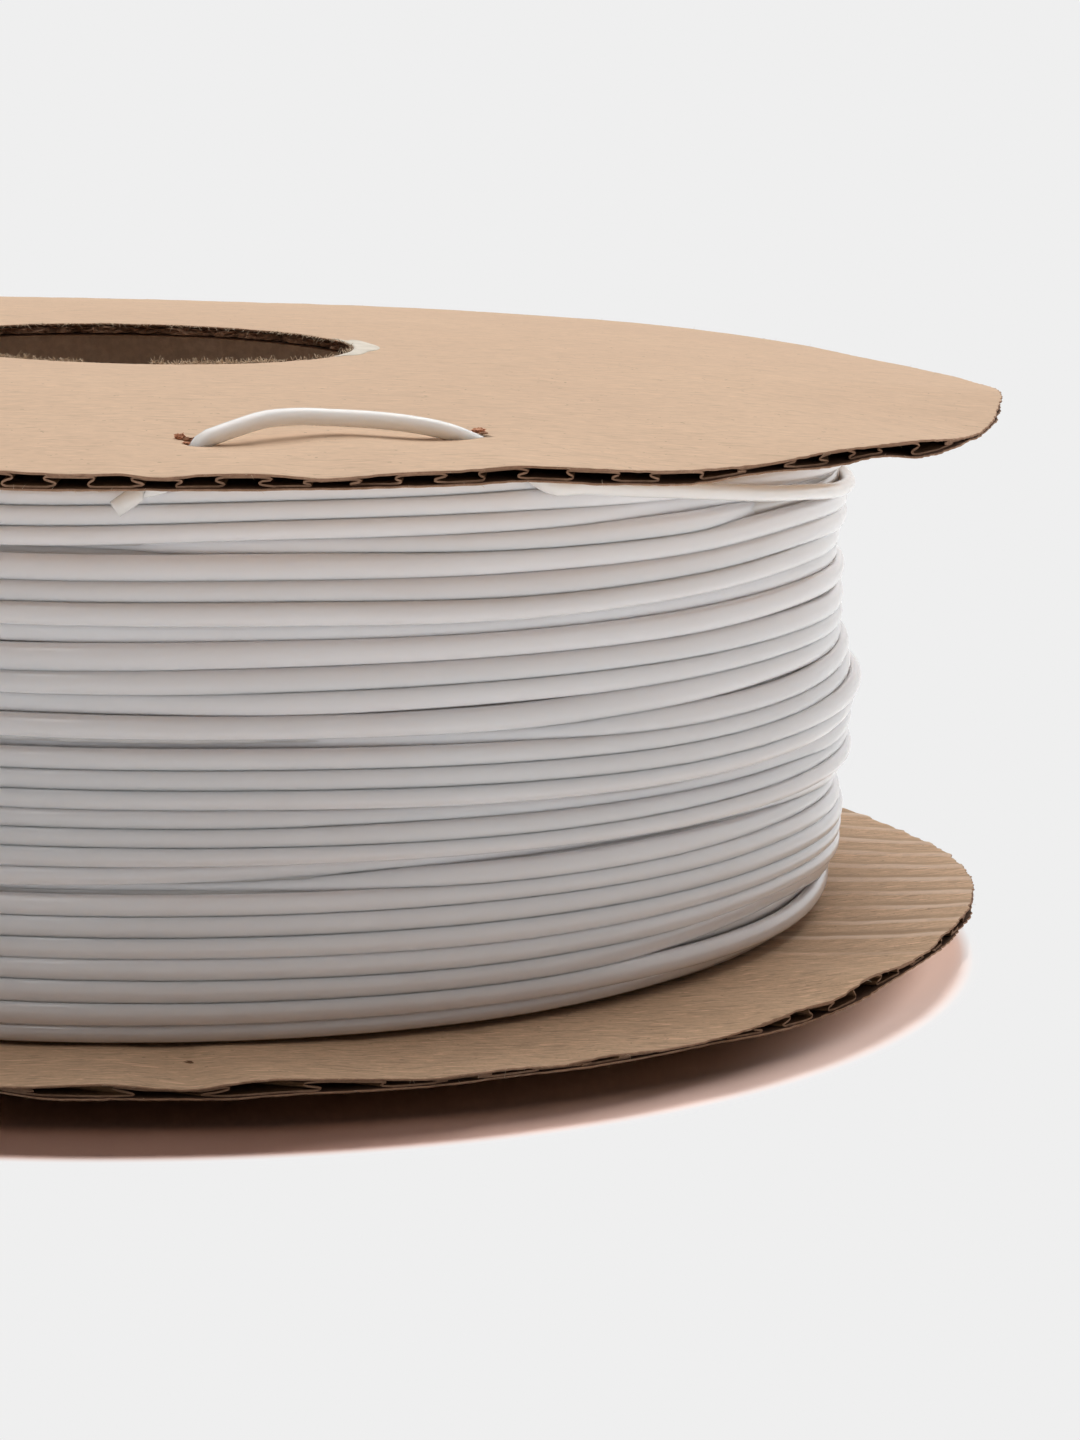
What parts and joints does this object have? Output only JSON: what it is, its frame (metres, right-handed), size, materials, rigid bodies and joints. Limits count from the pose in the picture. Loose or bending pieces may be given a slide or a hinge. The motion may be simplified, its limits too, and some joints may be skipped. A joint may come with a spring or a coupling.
{
  "type": "filament spool",
  "caption": "Cardboard spool of 3D-printer filament: two corrugated flanges on a paper core tube, wound with white filament whose end is laced through the upper flange.",
  "frame": {"origin": "on the spool's axis, in the plane of the lower hub face that it rests on", "axes": "+Z along the spool's axis, from the lower flange up to the flange that the filament's end is laced through; -Y towards the filament's cut end"},
  "size_m": [0.2, 0.2, 0.0671],
  "materials": {
    "top_liner_paper": "uncoated brown liner paper with fine fibres",
    "bottom_liner_paper": "uncoated brown liner paper, washboard relief",
    "inner_liner_paper": "uncoated brown liner paper",
    "fluting_paper": "matte fluted paper, torn at the cut edge",
    "tube_lining_paper": "matte grey-brown paper ply",
    "tube_board": "matte spiral-wound board",
    "tube_wrap_paper": "matte brown paper ply",
    "dried_glue": "dried translucent white glue",
    "filament_packed": "semi-gloss translucent white",
    "filament": "semi-gloss translucent white",
    "filament_end": "semi-gloss cream white"
  },
  "bodies": {
    "root": {"top_outer_liner": "top_liner_paper", "top_fluting": "fluting_paper", "top_inner_liner": "inner_liner_paper", "bottom_inner_liner": "inner_liner_paper", "bottom_fluting": "fluting_paper", "bottom_outer_liner": "bottom_liner_paper", "core_tube_inner_ply": "tube_lining_paper", "core_tube_body": "tube_board", "core_tube_outer_ply": "tube_wrap_paper", "top_glue_bead": "dried_glue", "bottom_glue_bead": "dried_glue", "glue_smear": "dried_glue", "filament_inner_layers": "filament_packed", "filament_outer_layer": "filament", "filament_tail": "filament_end"}
  },
  "joints": []
}
